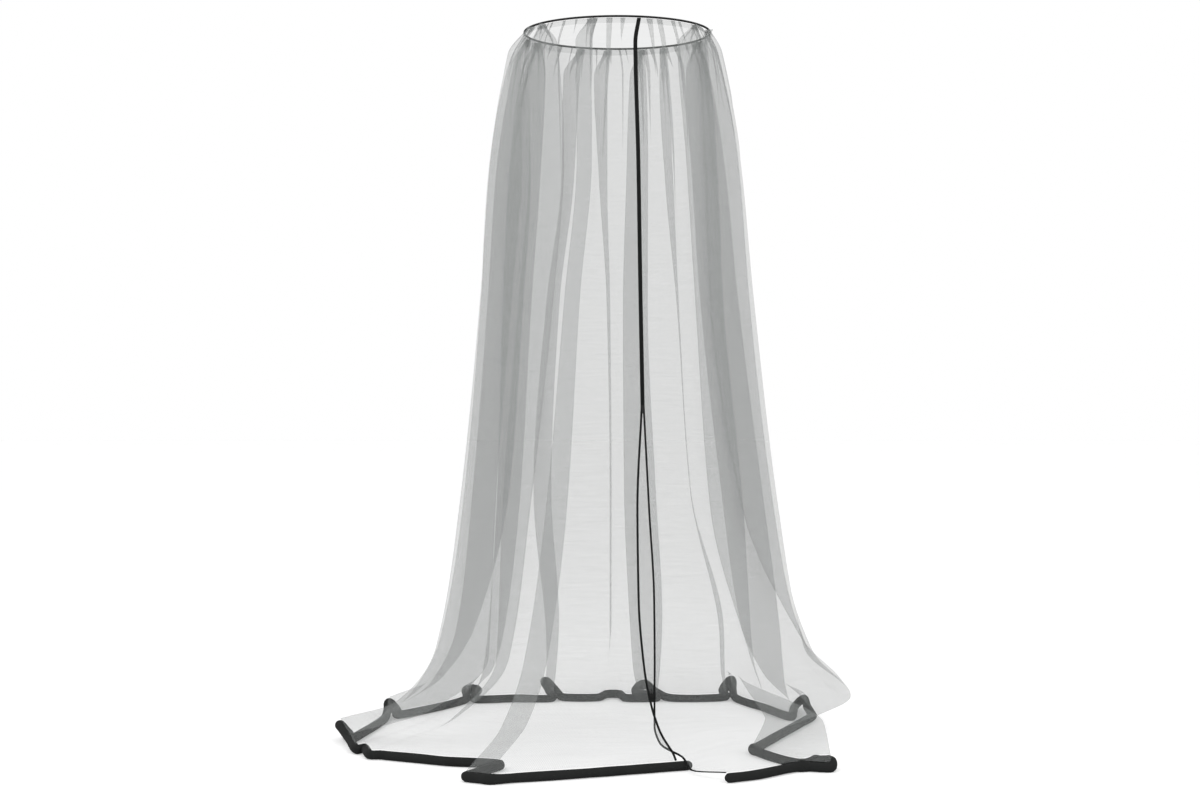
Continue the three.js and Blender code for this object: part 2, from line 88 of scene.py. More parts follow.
# The folds in the order that the hem runs, as in the part: on the floor the hem turns in, goes out
# to a tip and turns back. With no tip, it runs straight from one turn to the other. Above, the fold
# lies on a wall from its root to its edge, at each level. A row with no edge is plain wall.
FOLDS = [
    dict(wall="front", turn_in=(395, -712), spill=(50, 90), root=(150, 150, 135, 125, 105)),
    dict(wall="front", turn_in=(545, -590), spill=(40, 40), root=(210, 200, 175, 165, 135)),
    dict(wall="front", turn_in=(600, -602), spill=(140, 30), root=(240, 225, 200, 185, 158)),
    dict(wall="front", turn_in=(628, -598), spill=(190, 10), root=(270, 250, 222, 207, 182)),
    dict(wall="front", turn_in=(630, -566), lift=14, spill=(180, 20),
         root=(300, 275, 245, 230, 205)),
    dict(wall="front", turn_in=(590, -560), lift=12, spill=(110, 40),
         root=(330, 300, 268, 252, 228)),
    dict(wall="front", turn_in=(545, -542), spill=(20, 60), root=(355, 335, 298, 282, 255)),
    dict(wall="front", turn_in=(422, -325), turn_out=(470, -210),
         lean="behind", clear=12, spill=(40, 20),
         root=(410, 385, 325, 310, 280), edge=(398, 275, 230, 205, 180)),
    dict(wall="front", turn_in=(505, -125), turn_out=(628, 165),
         lean="behind", clear=40, spill=(150, 60),
         root=(575, 490, 418, 392, 325), edge=(565, 355, 260, 245, 230)),
    dict(wall="back", turn_in=(669, 262), spill=(100, 60), root=(615, 515, 430, 388, 324)),
    dict(wall="back", turn_in=(672, 290), tip=(646, 480), turn_out=(596, 262), rise=(30, 0),
         width=26, lean="ahead", clear=18, spill=(0, 0),
         root=(555, 490, 405, 362, 300), edge=(425, 355, 280, 250, 225)),
    dict(wall="back", turn_in=(516, 450), spill=(0, 0), root=(465, 375, 320, 290, 262)),
    dict(wall="back", turn_in=(432, 668), tip=(412, 775), turn_out=(398, 672), rise=(52, 12),
         width=26, lean="ahead", clear=12, spill=(0, 0),
         root=(375, 260, 215, 195, 170), edge=(355, 255, 205, 165, 145)),
    dict(wall="back", turn_in=(195, 655), tip=(90, 815), turn_out=(150, 655), rise=(26, 0),
         width=28, lean="ahead", clear=22, spill=(0, 0),
         root=(165, 140, 110, 110, 100), edge=(50, 30, 25, 35, 45)),
    dict(wall="back", turn_in=(38, 650), tip=(-8, 735), turn_out=(-62, 662), rise=(0, 0),
         width=40, lean="ahead", clear=12, spill=(0, 0),
         root=(-15, -15, -20, -30, -30), edge=(-20, -20, -30, -55, -70)),
    dict(wall="back", turn_in=(-190, 668), tip=(-240, 780), turn_out=(-228, 650), rise=(6, 46),
         width=32, lean="ahead", clear=12, spill=(0, 0),
         root=(-200, -225, -195, -145, -125), edge=(-240, -275, -230, -180, -170)),
    dict(wall="back", turn_in=(-366, 640), spill=(0, 0), root=(-320, -310, -290, -270, -232)),
    dict(wall="back", turn_in=(-506, 622), tip=(-526, 750), turn_out=(-540, 614), rise=(16, 16),
         width=32, lean="behind", clear=12, spill=(0, 0),
         root=(-440, -405, -382, -360, -302), edge=(-380, -325, -285, -255, -235)),
    dict(wall="back", turn_in=(-752, 300), tip=(-776, 385), turn_out=(-787, 225), rise=(0, 30),
         width=22, lean="behind", clear=40, spill=(0, 0),
         root=(-540, -480, -426, -398, -333), edge=(-458, -345, -295, -270, -270)),
    dict(wall="front", turn_in=(-832, -60), spill=(0, 0), root=(-570, -490, -432, -404, -339)),
    dict(wall="front", turn_in=(-852, -150), tip=(-886, -60), turn_out=(-810, -325), rise=(0, 34),
         width=26, lean="behind", clear=12, spill=(0, 0),
         root=(-395, -378, -328, -298, -302), edge=(-555, -480, -414, -384, -324)),
    dict(wall="front", turn_in=(-795, -300), tip=(-745, -410), turn_out=(-690, -430), rise=(0, 0),
         width=30, lean="ahead", clear=18, spill=(0, 0),
         root=(-370, -355, -305, -275, -280), edge=(-325, -260, -190, -160, -180)),
    dict(wall="front", turn_in=(-605, -468), spill=(0, 0), root=(-335, -300, -240, -208, -218)),
    dict(wall="front", turn_in=(-520, -510), spill=(0, 0), root=(-290, -240, -180, -145, -150)),
    dict(wall="front", turn_in=(-356, -560), tip=(-440, -742), turn_out=(-372, -775), rise=(0, 0),
         width=14, lean="behind", clear=12, spill=(0, 0),
         root=(-215, -155, -115, -80, -80), edge=(-275, -210, -155, -120, -120)),
    dict(wall="front", turn_in=(-290, -749), spill=(0, 0), root=(-160, -120, -90, -62, -55)),
    dict(wall="front", turn_in=(-150, -705), spill=(0, 0), root=(-85, -80, -60, -45, -25)),
]

# The zip: its middle above the split, and the middle of each tape below it. Near the floor the left
# tape crosses in front of the right one.
TAPE_SPACING = TAPE_WIDTH + SEAM_GAP
ZIP_SPLIT_HEIGHT = 1080
CLOSED_ZIP = [  # height, x, y
    (ZIP_SPLIT_HEIGHT, 74, -452),
    (1430, 68, -421),
    (1850, 62, -386),
    (2213, 54, -328),
    (RIM_HEIGHT, 66, -296),
]
OPEN_ZIP = [  # height, left (x, y, z), right (x, y, z)
    (HEM_HEIGHT, (170, -586, HEM_HEIGHT), (308, -760, HEM_HEIGHT)),
    (55, (161, -600, 55), (216, -645, 14)),
    (80, (146, -612, 80), (190, -576, 40)),
    (105, (131, -622, 105), (124, -578, 80)),
    (130, (119, -628, 130), (107, -572, 128)),
    (200, (96, -622, 200), (107, -560, 200)),
    (310, (75, -585, 310), (108, -548, 310)),
    (500, (60, -536, 500), (107, -528, 500)),
    (770, (57, -490, 770), (93, -487, 770)),
    (ZIP_SPLIT_HEIGHT, (74 - TAPE_SPACING / 2, -452, ZIP_SPLIT_HEIGHT),
     (74 + TAPE_SPACING / 2, -452, ZIP_SPLIT_HEIGHT)),
]
LEFT_TUBE_END = (217, -568)  # the left end of the tube goes on past its tape
TIP_SAG = 0.17  # keeps the rounded tips under the cloth

# Where the tube is bunched up: a place on the floor, how much fatter it is and over what length.
BUNCHES = [
    ((412, 775), 0.32, 34),
    ((90, 815), 0.3, 40),
    ((-8, 735), 0.1, 30),
    ((-240, 780), 0.42, 34),
    ((-526, 750), 0.34, 34),
    ((-776, 385), 0.3, 30),
    ((-886, -60), 0.16, 30),
    ((-372, -775), 0.16, 22),
    ((422, -325), 0.22, 26),
    ((545, -590), 0.45, 14),
    ((590, -560), 0.4, 14),
    ((630, -582), 0.3, 26),
]

# Cloth detail. A tuck is a pinch of cloth folded over flat: at its full width under the hoop, and
# tapering away down the wall.
NET_COLUMNS = 930
NET_ROWS = 96
ROW_EASING = 0.11  # how much closer the rows are near the floor and under the hoop
LEAST_COLUMNS = 4  # between two points of the table
TUCK_COUNT = 100
TUCK_WIDTHS = (8.0, 24.0)
TUCK_DROPS = (70, 130, 130, 220, 330, 480, 700)
TUCK_DROP_SPREAD = (0.8, 1.25)
TUCK_WANDER = 0.3  # how far a tuck is from its even place, of the way to the next
TUCK_TURN = 0.16  # from a tuck's middle to either turn, of the way to the next tuck
TUCK_LIFT = 1.6  # between the layers of a tuck
TUCK_TAPER = 0.8
TUCK_FLATTENING = 6  # the layers part over the last sixth of the taper

# The tube's surface: soft lumps along it, puckers where it bends, rounded ends and a seam on top.
LUMP_SPACING = 60
LUMP_SIZES = (-0.05, 0.03)  # of the tube's radius
PUCKER_SPACING = 11
PUCKER_DEPTH = 0.04
PUCKER_BEND = 6  # the tube puckers in full where it turns by a sixth of a radian a step
TUBE_STEP = 7
LEAST_TUBE_STEPS = 5
TUBE_SIDES = 18
END_ROUNDING = 9
END_SHARE = 0.55  # the radius at the very end of the tube
SEAM_DEPTH = 0.05
SEAM_WIDTH = 0.25  # in radians

random = np.random.default_rng(7)


# ---------------------------------------------------------------- the cloth's shape
def gentle_slope(below, above):
    """The slope where two spans meet, level where they turn back."""
    product = below * above
    total = np.where(product > 0, below + above, 1.0)
    return np.where(product > 0, 2 * product / total, 0.0)


def rise_through(stations, heights, wanted):
    """Smooth lines up through a set of points at each height, without overshoot."""
    stations = np.asarray(stations, float)
    heights = np.asarray(heights, float)
    spans = np.diff(heights)
    slopes = np.diff(stations, axis=0) / spans.reshape((-1,) + (1,) * (stations.ndim - 1))
    tangents = np.empty_like(stations)
    tangents[0], tangents[-1] = slopes[0], slopes[-1]
    tangents[1:-1] = gentle_slope(slopes[:-1], slopes[1:])
    rows = []
    for height in wanted:
        i = int(np.clip(np.searchsorted(heights, height, side="right") - 1, 0, len(spans) - 1))
        t = (height - heights[i]) / spans[i]
        rows.append(
            (2 * t**3 - 3 * t**2 + 1) * stations[i]
            + (t**3 - 2 * t**2 + t) * spans[i] * tangents[i]
            + (-2 * t**3 + 3 * t**2) * stations[i + 1]
            + (t**3 - t**2) * spans[i] * tangents[i + 1]
        )
    return np.array(rows)


def on_wall(section, wall, x, offset):
    """A point on a section's oval at this x, pushed out by offset."""
    across = section["left"] if x < 0 else section["right"]
    deep = section["front"] if wall == "front" else section["back"]
    share = min(max(x / across, -WIDEST_SHARE), WIDEST_SHARE)
    y = math.sqrt(1 - share * share) * deep * (-1 if wall == "front" else 1)
    normal = Vector((share / across, y / deep**2, 0)).normalized()
    return Vector((share * across, y, section["height"])) + normal * offset


def fold_on_wall(fold, section, root, edge):
    """The six points of a fold on a wall: its root, its middle and its edge, out and back again."""
    middle = (root + edge) / 2
    travel = 1 if fold["wall"] == "front" else -1
    ahead = -1 if fold["lean"] == "ahead" else 1
    halfway = MIDDLE_OFFSET + fold["clear"] * MIDDLE_SHARE
    spots = [
        (root, ROOT_OFFSET),
        (middle, halfway),
        (edge, fold["clear"]),
        (edge, fold["clear"] + PLEAT_DEPTH),
        (middle, halfway + PLEAT_DEPTH),
        (root + ahead * travel * ROOT_STEP, RETURN_OFFSET),
    ]
    points = [on_wall(section, fold["wall"], x, offset) for x, offset in spots]
    return points if fold["lean"] == "behind" else points[::-1]


def fold_on_floor(fold):
    """The same six points where the fold lies on the floor."""
    turn_in, turn_out = (Vector((*fold[key], HEM_HEIGHT)) for key in ("turn_in", "turn_out"))
    if "tip" not in fold:
        return [turn_in.lerp(turn_out, share) for share in (0, 0.2, 0.4, 0.6, 0.8, 1)]
    tip = Vector((*fold["tip"], HEM_HEIGHT))
    along = (tip - (turn_in + turn_out) / 2).normalized()
    across = Vector((-along.y, along.x, 0))
    if across.dot(turn_in - turn_out) < 0:
        across.negate()
    near_tip = tip + across * fold["width"] / 2
    far_tip = tip - across * fold["width"] / 2
    points = [turn_in, (turn_in + near_tip) / 2, near_tip,
              far_tip, (turn_out + far_tip) / 2, turn_out]
    near_rise, far_rise = fold["rise"]
    near_middle, far_middle = near_rise * FLOOR_MIDDLE_SHARE, far_rise * FLOOR_MIDDLE_SHARE
    lifts = (0, near_middle, near_rise, far_rise, far_middle, 0)
    for place, lift in zip(points, lifts):
        place.z += lift
    return points


def on_rim(place, offset):
    """Under the hoop the folds stand in a ring, each leg a little outside the one below it."""
    flat = Vector((place.x, place.y, 0)).normalized() * (HOOP_RADIUS + offset)
    flat.z = RIM_HEIGHT
    return flat


def fold_columns(fold):
    """The station points of each thread of a fold, from the hem up to the hoop."""
    is_fold = "edge" in fold
    if is_fold:
        hem = fold_on_floor(fold)
    else:
        hem = [Vector((*fold["turn_in"], HEM_HEIGHT + fold.get("lift", 0)))]
    levels = []
    for i, level in enumerate(LEVELS):
        if is_fold:
            levels.append(fold_on_wall(fold, SECTIONS[level], fold["root"][i], fold["edge"][i]))
        else:
            levels.append([on_wall(SECTIONS[level], fold["wall"], fold["root"][i], 0)])
    stack = RIM_STACKS[fold["lean"]] if is_fold else (PLAIN_RIM,)
    root = levels[-1][-1 if fold.get("lean") == "ahead" else 0]
    columns = []
    for i, floor_point in enumerate(hem):
        walls = [points[i] for points in levels]
        foot = walls[0].lerp(floor_point, FOOT_SPREAD) + Vector((*fold["spill"], 0))
        foot.z = FOOT_HEIGHT
        rim = on_rim(root.lerp(walls[-1], RIM_SPREAD), stack[i])
        columns.append([floor_point, foot, *walls, rim])
    return columns


COLUMNS = np.array([column for fold in FOLDS for column in fold_columns(fold)])


def zip_points(side, wanted):
    """The middle of one tape at each height."""
    places = []
    pick = 1 if side == "left" else 2
    open_heights = [row[0] for row in OPEN_ZIP]
    open_places = [row[pick] for row in OPEN_ZIP]
    closed_heights = [row[0] for row in CLOSED_ZIP]
    shift = (-1 if side == "left" else 1) * TAPE_SPACING / 2
    closed_places = [(x + shift, y, height) for height, x, y in CLOSED_ZIP]
    for height in wanted:
        if height < ZIP_SPLIT_HEIGHT:
            places.append(rise_through(open_places, open_heights, [height])[0])
        else:
            places.append(rise_through(closed_places, closed_heights, [height])[0])
    return np.array(places)


def tape_frames(side, heights):
    """Middle, level direction to the net beside it, and front face of a tape at each height."""
    heights = np.asarray(heights, float)
    middle = zip_points(side, heights)
    up = zip_points(side, np.minimum(heights + 2, RIM_HEIGHT)) - zip_points(
        side, np.maximum(heights - 2, HEM_HEIGHT))
    thread = COLUMNS[-1 if side == "left" else 0]
    across = rise_through(thread, STATION_HEIGHTS, heights) - middle
    across[:, 2] = 0
    across /= np.linalg.norm(across, axis=1, keepdims=True)
    out = np.cross(up, across) * (1 if side == "left" else -1)
    out /= np.linalg.norm(out, axis=1, keepdims=True)
    return middle, across, out


def flat_frames(side, heights):
    """The same, but carried down the tape from the hoop so that it keeps its width everywhere."""
    middle, across, _ = tape_frames(side, heights)
    along = np.gradient(middle, axis=0)
    along /= np.linalg.norm(along, axis=1, keepdims=True)
    for i in range(len(middle) - 2, -1, -1):
        carried = across[i + 1] - along[i] * across[i + 1].dot(along[i])
        across[i] = carried / np.linalg.norm(carried)
    out = np.cross(along, across) * (1 if side == "left" else -1)
    return middle, across, out


def smooth_through(points, counts):
    """A centripetal curve through the points, with counts[i] samples from point i to the next."""
    points = np.asarray(points, float)
    padded = np.vstack([2 * points[0] - points[1], points, 2 * points[-1] - points[-2]])
    knots = np.sqrt(np.maximum(np.linalg.norm(np.diff(padded, axis=0), axis=1), 1e-3))
    pieces = []
    for i, count in enumerate(counts):
        p0, p1, p2, p3 = padded[i:i + 4]
        t1 = knots[i]
        t2 = t1 + knots[i + 1]
        t3 = t2 + knots[i + 2]
        t = np.linspace(t1, t2, count, endpoint=False)[:, None]
        a1 = (t1 - t) / t1 * p0 + t / t1 * p1
        a2 = (t2 - t) / (t2 - t1) * p1 + (t - t1) / (t2 - t1) * p2
        a3 = (t3 - t) / (t3 - t2) * p2 + (t - t2) / (t3 - t2) * p3
        b1 = (t2 - t) / t2 * a1 + t / t2 * a2
        b2 = (t3 - t) / (t3 - t1) * a2 + (t - t1) / (t3 - t1) * a3
        pieces.append((t2 - t) / (t2 - t1) * b1 + (t - t1) / (t2 - t1) * b2)
    return np.vstack(pieces + [points[-1:]])


def control_rows(heights):
    """The net's control points at each height, from the right tape round to the left tape."""
    inner = rise_through(COLUMNS.transpose(1, 0, 2), STATION_HEIGHTS, heights)
    offset = TAPE_WIDTH / 2 + SEAM_GAP
    ends = []
    for side in ("right", "left"):
        middle, across, _ = tape_frames(side, heights)
        ends.append(middle + across * offset)
    return np.concatenate([ends[0][:, None], inner, ends[1][:, None]], axis=1)


def net_heights():
    """Row heights, closer together near the floor and under the hoop."""
    shares = np.linspace(0, 1, NET_ROWS)
    eased = shares - ROW_EASING * np.sin(2 * np.pi * shares)
    return HEM_HEIGHT + (RIM_HEIGHT - HEM_HEIGHT) * eased


def add_tucks(grid, heights):
    """Flat tucks that hang from the hoop, each a narrow wedge three layers thick."""
    steps = np.linalg.norm(np.diff(grid[-8], axis=0), axis=1)
    cloth = np.concatenate([[0], np.cumsum(steps)])
    pitch = cloth[-1] / TUCK_COUNT
    along = np.gradient(grid, axis=1)
    along[..., 2] = 0
    along /= np.maximum(np.linalg.norm(along, axis=2, keepdims=True), 1e-6)
    out = np.stack([along[..., 1], -along[..., 0], np.zeros(along.shape[:2])], axis=2)
    depth = RIM_HEIGHT - heights
    slide = np.zeros(grid.shape[:2])
    lift = np.zeros(grid.shape[:2])
    for mark in range(1, TUCK_COUNT):
        middle = (mark + random.uniform(-TUCK_WANDER, TUCK_WANDER)) * pitch
        width = random.uniform(*TUCK_WIDTHS)
        drop = random.choice(TUCK_DROPS) * random.uniform(*TUCK_DROP_SPREAD)
        way = random.choice((-1, 1))
        turn = pitch * TUCK_TURN
        # Where each column is in the tuck: -1 and 1 are its two turns.
        spot = way * (cloth - middle) / turn
        folded = np.interp(spot, (-3, -1, 1, 3), (0, 1, -1, 0)) * way
        raised = np.interp(spot, (-3, -1, 1, 3), (0, 0.2, 1, 0))
        taper = np.clip(1 - depth / drop, 0, 1) ** TUCK_TAPER
        slide += np.outer(taper * (width / 2 + turn), folded)
        parted = np.minimum(taper * TUCK_FLATTENING, 1)
        lift += np.outer(parted, raised) * 2 * TUCK_LIFT
    return grid + along * slide[..., None] + out * lift[..., None]


def net_grid():
    """The netting's points, in rows from the hem up to the hoop."""
    heights = net_heights()
    controls = control_rows(heights)
    spans = np.linalg.norm(np.diff(controls, axis=1), axis=2)
    typical_rows = [2, NET_ROWS // 3, NET_ROWS * 2 // 3, -6]
    spans = spans[typical_rows].mean(axis=0)
    wanted = np.round(spans / spans.sum() * NET_COLUMNS)
    counts = np.maximum(LEAST_COLUMNS, wanted).astype(int)
    grid = np.array([smooth_through(row, counts) for row in controls])
    return add_tucks(grid, heights)


# ---------------------------------------------------------------- mesh helpers
def to_part(points):
    """Millimetres above the floor to metres in the part's frame."""
    points = np.array(points, float)
    points[..., 2] -= NET_HEIGHT
    return points * MM


def new_object(name, vertices, faces, smooth=True, uvs=None):
    """An object in the scene, with a place on the flat cloth for each vertex if uvs are given."""
    mesh = bpy.data.meshes.new(name)
    mesh.from_pydata([tuple(v) for v in vertices], [], faces)
    mesh.update()
    if uvs is not None:
        layer = mesh.uv_layers.new(name="cloth")
        index = np.empty(len(mesh.loops), dtype=np.int32)
        mesh.loops.foreach_get("vertex_index", index)
        layer.data.foreach_set("uv", np.asarray(uvs)[index].astype(np.float32).ravel())
    mesh.polygons.foreach_set("use_smooth", [smooth] * len(mesh.polygons))
    obj = bpy.data.objects.new(name, mesh)
    bpy.context.collection.objects.link(obj)
    return obj


def grid_faces(rows, columns, wrap=False):
    """Four-sided faces between rows of points, joined round the back where they wrap."""
    faces = []
    last = columns if wrap else columns - 1
    for r in range(rows - 1):
        for c in range(last):
            n = (c + 1) % columns
            lower, upper = r * columns, (r + 1) * columns
            faces.append((lower + c, lower + n, upper + n, upper + c))
    return faces


def rod_faces(rings, sides, flip=True):
    """Faces round a rod made of rings of points, and over both of its ends."""
    faces = grid_faces(rings, sides, wrap=True)
    if flip:
        faces = [face[::-1] for face in faces]
    faces.append(tuple(range(sides)))
    faces.append(tuple(reversed(range((rings - 1) * sides, rings * sides))))
    return faces


def dress(obj, material, nodes):
    """Give a piece its material and slot, and let it take the place of the part's nodes."""
    obj.data.materials.clear()
    obj.data.materials.append(material)
    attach(obj, "root")
    if nodes:
        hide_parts(*nodes)


# ---------------------------------------------------------------- materials
def new_material(name):
    """A material, with its node tree and its shader."""
    material = bpy.data.materials.new(name)
    material.use_nodes = True
    tree = material.node_tree
    shader = tree.nodes["Principled BSDF"]
    return material, tree, shader


def node(tree, kind, **inputs):
    """A shader node with values set on its inputs by name."""
    made = tree.nodes.new(kind)
    for key, value in inputs.items():
        made.inputs[key.replace("_", " ")].default_value = value
    return made


def math_node(tree, operation, first, second):
    """The result of a sum on two numbers or sockets."""
    made = tree.nodes.new("ShaderNodeMath")
    made.operation = operation
    for socket, value in zip(made.inputs, (first, second)):
        if isinstance(value, (int, float)):
            socket.default_value = value
        else:
            tree.links.new(value, socket)
    return made.outputs[0]


def ramp(tree, factor, low, high):
    """A colour that goes from low to high."""
    made = tree.nodes.new("ShaderNodeMix")
    made.data_type = "RGBA"
    made.inputs[6].default_value = (*low, 1)
    made.inputs[7].default_value = (*high, 1)
    tree.links.new(factor, made.inputs[0])
    return made.outputs[2]


def netting_material():
    """A fine open mesh with uneven threads, doubled over at the heading."""
    mesh_pitches = (0.0014, 0.0016)
    cover = 0.24  # how much one layer hides
    thread_cover = 0.10
    even_share = 0.4
    uneven_cover = 0.09
    heading_cover = 0.16
    heading_start = (RIM_HEIGHT - HEM_HEIGHT - 17) * MM
    gap_colour = (0.27, 0.285, 0.28)
    thread_colour = (0.33, 0.34, 0.335)

    material, tree, shader = new_material("netting")
    uv = node(tree, "ShaderNodeUVMap")
    uv.uv_map = "cloth"
    split = node(tree, "ShaderNodeSeparateXYZ")
    tree.links.new(uv.outputs[0], split.inputs[0])
    threads = []
    for axis, pitch in enumerate(mesh_pitches):
        turns = math_node(tree, "MULTIPLY", split.outputs[axis], 2 * math.pi / pitch)
        threads.append(math_node(tree, "COSINE", turns, 0))
    mesh = math_node(tree, "MAXIMUM", threads[0], threads[1])
    noise = node(tree, "ShaderNodeTexNoise", Scale=1.0, Detail=3.0, Roughness=0.6)
    stretch = node(tree, "ShaderNodeMapping", Scale=(9.0, 120.0, 1.0))
    tree.links.new(uv.outputs[0], stretch.inputs[0])
    tree.links.new(stretch.outputs[0], noise.inputs["Vector"])
    centred_noise = math_node(tree, "SUBTRACT", noise.outputs[0], 0.5)
    uneven = math_node(tree, "MULTIPLY", centred_noise, uneven_cover)
    centred_mesh = math_node(tree, "SUBTRACT", mesh, even_share)
    open_share = math_node(tree, "MULTIPLY", centred_mesh, thread_cover)
    alpha = math_node(tree, "ADD", math_node(tree, "ADD", open_share, uneven), cover)
    heading = math_node(tree, "GREATER_THAN", split.outputs[1], heading_start)
    doubled = math_node(tree, "MULTIPLY", heading, heading_cover)
    alpha = math_node(tree, "ADD", alpha, doubled)
    tree.links.new(alpha, shader.inputs["Alpha"])
    colour = ramp(tree, mesh, gap_colour, thread_colour)
    tree.links.new(colour, shader.inputs["Base Color"])
    shader.inputs["Roughness"].default_value = 0.85
    shader.inputs["Specular IOR Level"].default_value = 0.25
    shader.inputs["Sheen Weight"].default_value = 0.1
    return material


def woven_black(name, low, high, pitch, bump, roughness):
    """Plain woven cloth in a near-black yarn."""
    material, tree, shader = new_material(name)
    place = node(tree, "ShaderNodeTexCoord")
    warp = node(tree, "ShaderNodeTexWave", Scale=0.16 / pitch, Distortion=0.6, Detail=1.0)
    warp.bands_direction = "Z"
    weft = node(tree, "ShaderNodeTexWave", Scale=0.16 / pitch, Distortion=0.6, Detail=1.0)
    weft.bands_direction = "DIAGONAL"
    cloud = node(tree, "ShaderNodeTexNoise", Scale=22.0, Detail=4.0, Roughness=0.6)
    for texture in (warp, weft, cloud):
        tree.links.new(place.outputs["Object"], texture.inputs["Vector"])
    weave = math_node(tree, "MAXIMUM", warp.outputs[1], weft.outputs[1])
    shade = math_node(tree, "ADD", math_node(tree, "MULTIPLY", weave, 0.35),
                      math_node(tree, "MULTIPLY", cloud.outputs[0], 0.65))
    tree.links.new(ramp(tree, shade, low, high), shader.inputs["Base Color"])
    relief = node(tree, "ShaderNodeBump", Strength=bump, Distance=0.0004)
    tree.links.new(weave, relief.inputs["Height"])
    tree.links.new(relief.outputs[0], shader.inputs["Normal"])
    shader.inputs["Roughness"].default_value = roughness
    shader.inputs["Specular IOR Level"].default_value = 0.15
    return material


def hard_black(name, colour, roughness, scale):
    """Smooth dark plastic or enamel with faint handling marks."""
    material, tree, shader = new_material(name)
    place = node(tree, "ShaderNodeTexCoord")
    noise = node(tree, "ShaderNodeTexNoise", Scale=scale, Detail=5.0, Roughness=0.7)
    tree.links.new(place.outputs["Object"], noise.inputs["Vector"])
    lighter = tuple(channel * 1.5 for channel in colour)
    tree.links.new(ramp(tree, noise.outputs[0], colour, lighter), shader.inputs["Base Color"])
    spread = math_node(tree, "MULTIPLY", noise.outputs[0], 0.2)
    tree.links.new(math_node(tree, "ADD", spread, roughness - 0.1), shader.inputs["Roughness"])
    shader.inputs["Specular IOR Level"].default_value = 0.2
    return material


# ---------------------------------------------------------------- pieces
def make_netting():
    """The netting, and the width of its cloth at mid height in metres."""
    grid = net_grid()
    rows, columns = grid.shape[:2]
    step = np.linalg.norm(np.diff(grid[rows // 2], axis=0), axis=1)
    cloth = np.concatenate([[0], np.cumsum(step)])
    length = np.linalg.norm(np.diff(grid.mean(axis=1), axis=0), axis=1)
    drop = np.concatenate([[0], np.cumsum(length)])
    drop *= (RIM_HEIGHT - HEM_HEIGHT) / drop[-1]
    u, v = np.meshgrid(cloth * MM, drop * MM)
    uvs = np.stack([u.ravel(), v.ravel()], axis=1)
    vertices = to_part(grid).reshape(-1, 3)
    netting = new_object("netting", vertices, grid_faces(rows, columns), uvs=uvs)
    dress(netting, netting_material(), ["net"])
    return netting, cloth[-1] * MM


def make_hoop():
    """A thin round rod bent to a full circle."""
    turns, sides = 192, 16
    vertices = []
    for i in range(turns):
        turn = 2 * math.pi * i / turns
        for k in range(sides):
            angle = 2 * math.pi * k / sides
            radius = HOOP_RADIUS + HOOP_THICKNESS / 2 * math.cos(angle)
            height = HOOP_THICKNESS / 2 * math.sin(angle)
            x, y = radius * math.cos(turn), radius * math.sin(turn)
            vertices.append((x * MM, y * MM, height * MM))
    faces = []
    for i in range(turns):
        for k in range(sides):
            a, b = i * sides + k, i * sides + (k + 1) % sides
            c, d = (i + 1) % turns * sides + (k + 1) % sides, (i + 1) % turns * sides + k
            faces.append((a, d, c, b))
    hoop = new_object("hoop_rod", vertices, faces)
    plastic = hard_black("hoop_plastic", (0.006, 0.0065, 0.006), 0.55, 40)
    dress(hoop, plastic, ["top_ring"])
    return hoop


def tube_route():
    """The middle of the tube: under the hem all round, from the right tape past the left one."""
    route = control_rows([HEM_HEIGHT])[0][1:-1]
    ends = [zip_points(side, [HEM_HEIGHT]) for side in ("right", "left")]
    route = np.vstack([ends[0], route, ends[1], [(*LEFT_TUBE_END, HEM_HEIGHT)]])
    drop = HEM_HEIGHT - TUBE_DIAMETER / 2
    route[:, 2] -= drop + TIP_SAG * (route[:, 2] - HEM_HEIGHT)
    spans = np.linalg.norm(np.diff(route, axis=0), axis=1)
    counts = np.maximum(LEAST_TUBE_STEPS, np.round(spans / TUBE_STEP)).astype(int)
    return smooth_through(route, counts)


